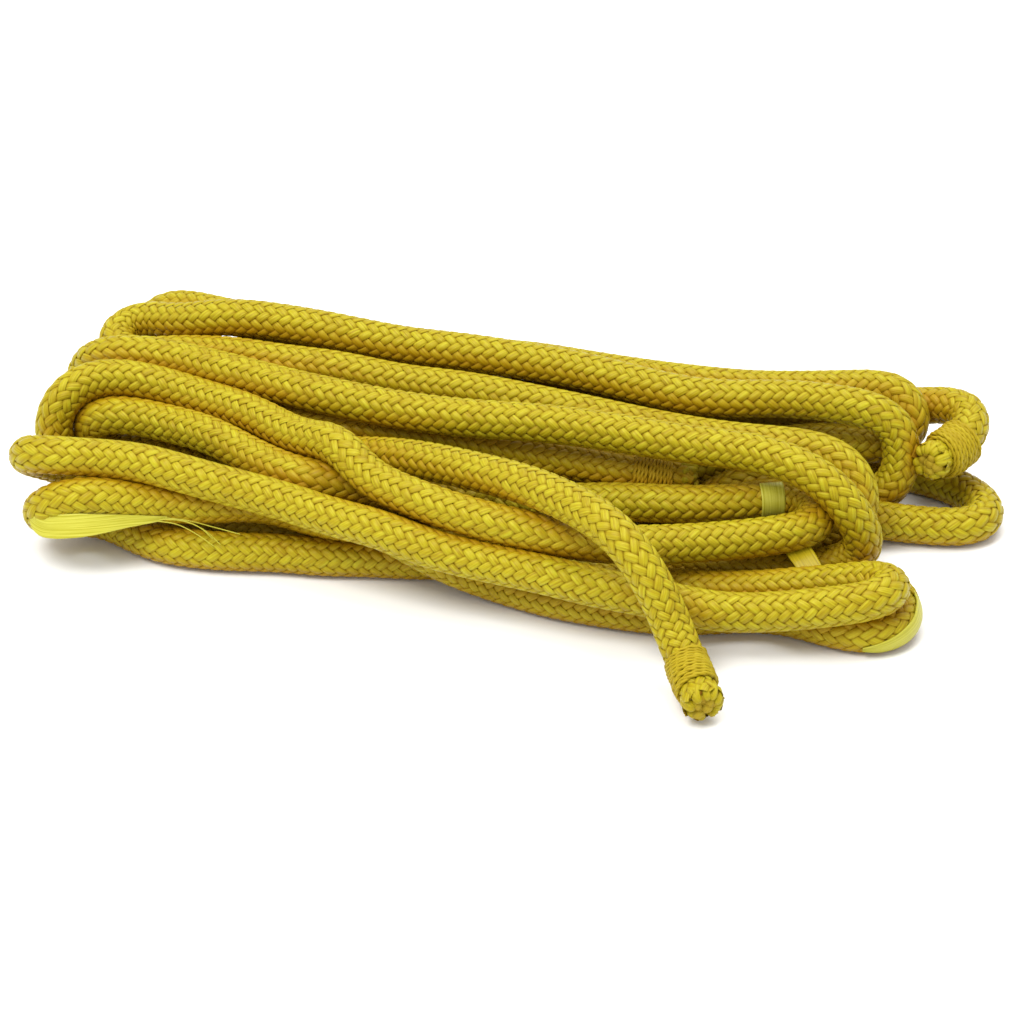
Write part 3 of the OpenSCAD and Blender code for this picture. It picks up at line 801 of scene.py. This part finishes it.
def painted_shade_core_material():
    """The rope's inside, seen between strands, painted dark as shade"""
    m = Nodes("rope_inside_painted_shade")
    fuzz = m.noise(m.fibre((1.0, 2.0, 1.0)), 1.0)
    # painted shade: a dark orange-brown
    m.set(Base_Color=m.ramp(fuzz, [(0.35, (0.14, 0.05, 0.001)), (0.65, (0.25, 0.10, 0.002))]))
    m.set(Roughness=0.9)
    return m.material


def tape_material_of(name, dark, light):
    """Flat drawn plastic tape: glossy, a little see-through, split in fine lines along it"""
    m = Nodes(name)
    lines = m.noise(m.fibre((0.05, 3.4, 1.0)), 1.0, 3.0, 0.6)
    m.set(Base_Color=m.ramp(lines, [(0.35, dark), (0.6, light)]))
    m.set(Roughness=0.32, Transmission_Weight=0.15, IOR=1.3, Specular_IOR_Level=0.5)
    m.set(Normal=m.bump(lines, 0.5, 0.0001))
    return m.material


# ---------------------------------------------------------------- floor and light
FLOOR_HALF = 3.0  # metres
SKY_STRENGTH = 0.9
LAMPS = [("key", (-0.45, -0.45, 1.1), 0.6, 12.5),  # name, place and size in metres, watts
         ("top", (0.25, 0.25, 1.2), 0.8, 10.0)]


def make_stage():
    floor = bpy.data.meshes.new("floor")
    corners = [(x * FLOOR_HALF, y * FLOOR_HALF, 0) for x, y in ((-1, -1), (1, -1), (1, 1), (-1, 1))]
    floor.from_pydata(corners, [], [(0, 1, 2, 3)])
    piece = bpy.data.objects.new("floor", floor)
    m = Nodes("floor")
    grain = m.noise(m.add("ShaderNodeTexCoord").outputs["Object"], 60.0)
    m.set(Base_Color=m.ramp(grain, [(0.3, (0.88, 0.88, 0.875)), (0.7, (0.90, 0.90, 0.895))]), Roughness=0.8)
    floor.materials.append(m.material)
    bpy.context.scene.collection.objects.link(piece)
    world = bpy.data.worlds.new("world")
    world.use_nodes = True
    world.node_tree.nodes["Background"].inputs["Color"].default_value = (1, 1, 1, 1)
    world.node_tree.nodes["Background"].inputs["Strength"].default_value = SKY_STRENGTH
    bpy.context.scene.world = world
    for lamp in LAMPS:
        area(*lamp)
    bpy.context.scene.view_settings.view_transform = "Standard"


def area(name, place, size, power):
    data = bpy.data.lights.new(name, "AREA")
    data.size = size
    data.energy = power
    light = bpy.data.objects.new(name, data)
    light.location = place
    light.rotation_euler = (-Vector(place)).to_track_quat("-Z", "Y").to_euler()
    bpy.context.scene.collection.objects.link(light)


# ---------------------------------------------------------------- the object
make_camera()
# The first colour given to each yarn is its painted shade, mixed in by depth; the other three are the yarn's
# own tones
rope_material = yarn_material("rope_yarn", (0.15, 0.058, 0.001), (0.25, 0.16, 0.002), (0.345, 0.268, 0.004),
                              (0.43, 0.385, 0.014), 0.8, 2.6)
painted_shade_inside_material = painted_shade_core_material()
twine_material = yarn_material("twine", (0.14, 0.06, 0.001), (0.28, 0.185, 0.003), (0.36, 0.265, 0.006),
                               (0.45, 0.36, 0.015), 0.5, 3.0)
core_material = yarn_material("core_yarn", (0.15, 0.07, 0.002), (0.30, 0.20, 0.008), (0.38, 0.28, 0.012),
                              (0.47, 0.38, 0.03), 0.5, 3.0)
tape_material = tape_material_of("tape", (0.40, 0.36, 0.012), (0.60, 0.57, 0.07))
# painted shade: a darker copy of the tape colours for the strip in the gap behind the front run, which lies
# in shade
shaded_gap_tape_material = tape_material_of("gap_tape", (0.30, 0.22, 0.003), (0.44, 0.34, 0.01))

first, second = (Path(line) for line in settle([FIRST_ROUTE, SECOND_ROUTE]))
find_nooks([first, second])
TOP_RUN_END = (-62, 24, 18)  # where the free tail goes on as the first length
SPLIT = int(np.argmin(np.linalg.norm(first.line - TOP_RUN_END, axis=1)))


def make_rope(name, path, k0, k1, nodes):
    """One cord, from path point k0 to k1; it hides the parts named in nodes"""
    builder = Builder()
    sheath(builder, path, k0, k1)
    piece = builder.make(name, [rope_material, painted_shade_inside_material])
    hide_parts(*nodes)
    return piece


free_tail = make_rope("free_tail", first, 0, SPLIT, ["tail", "top_run"])
first_length = make_rope("first_length", first, SPLIT, len(first.line) - 1,
                         ["floor_laps", "upper_laps", "crossing_run", "big_loop", "floor_loop",
                          "whipped_loop"])
second_length = make_rope("second_length", second, 0, len(second.line) - 1,
                          ["lower_laps", "top_laps", "front_run", "middle_run", "front_loop", "top_loop",
                           "low_loop"])
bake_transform(free_tail)
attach(first_length, "hank")
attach(second_length, "hank")
for place, path, end, body, layers in (("tail", first, 0, "tail", 1), ("right", first, 1, "hank", 2),
                                       ("middle", second, 0, "hank", 1), ("hidden", second, 1, "hank", 1)):
    wound = make_whipping(place + "_twine", path, end, layers)
    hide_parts(place + "_whipping")
    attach(wound, body)
    cut = make_cut_end(place + "_yarns", path, end)
    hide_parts(place + "_cut_end")
    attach(cut, body)
low_strip = make_strip("low_loop_strip", LOW_STRIP, LOW_SIDES, tape_material, THREADS)
band = make_band("crossing_band", first, (64.5, -3, 18), 10, 170, 6.0)
gap_strip = make_strip("gap_strip", GAP_STRIP, GAP_SIDES, shaded_gap_tape_material)
corner_strip = make_wrap("corner_strip", second, CORNER_STRIP)
for node, strip in (("low_loop_tape", low_strip), ("crossing_tape", band),
                    ("gap_tape", gap_strip), ("corner_tape", corner_strip)):
    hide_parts(node)
    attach(strip, "hank")
make_stage()
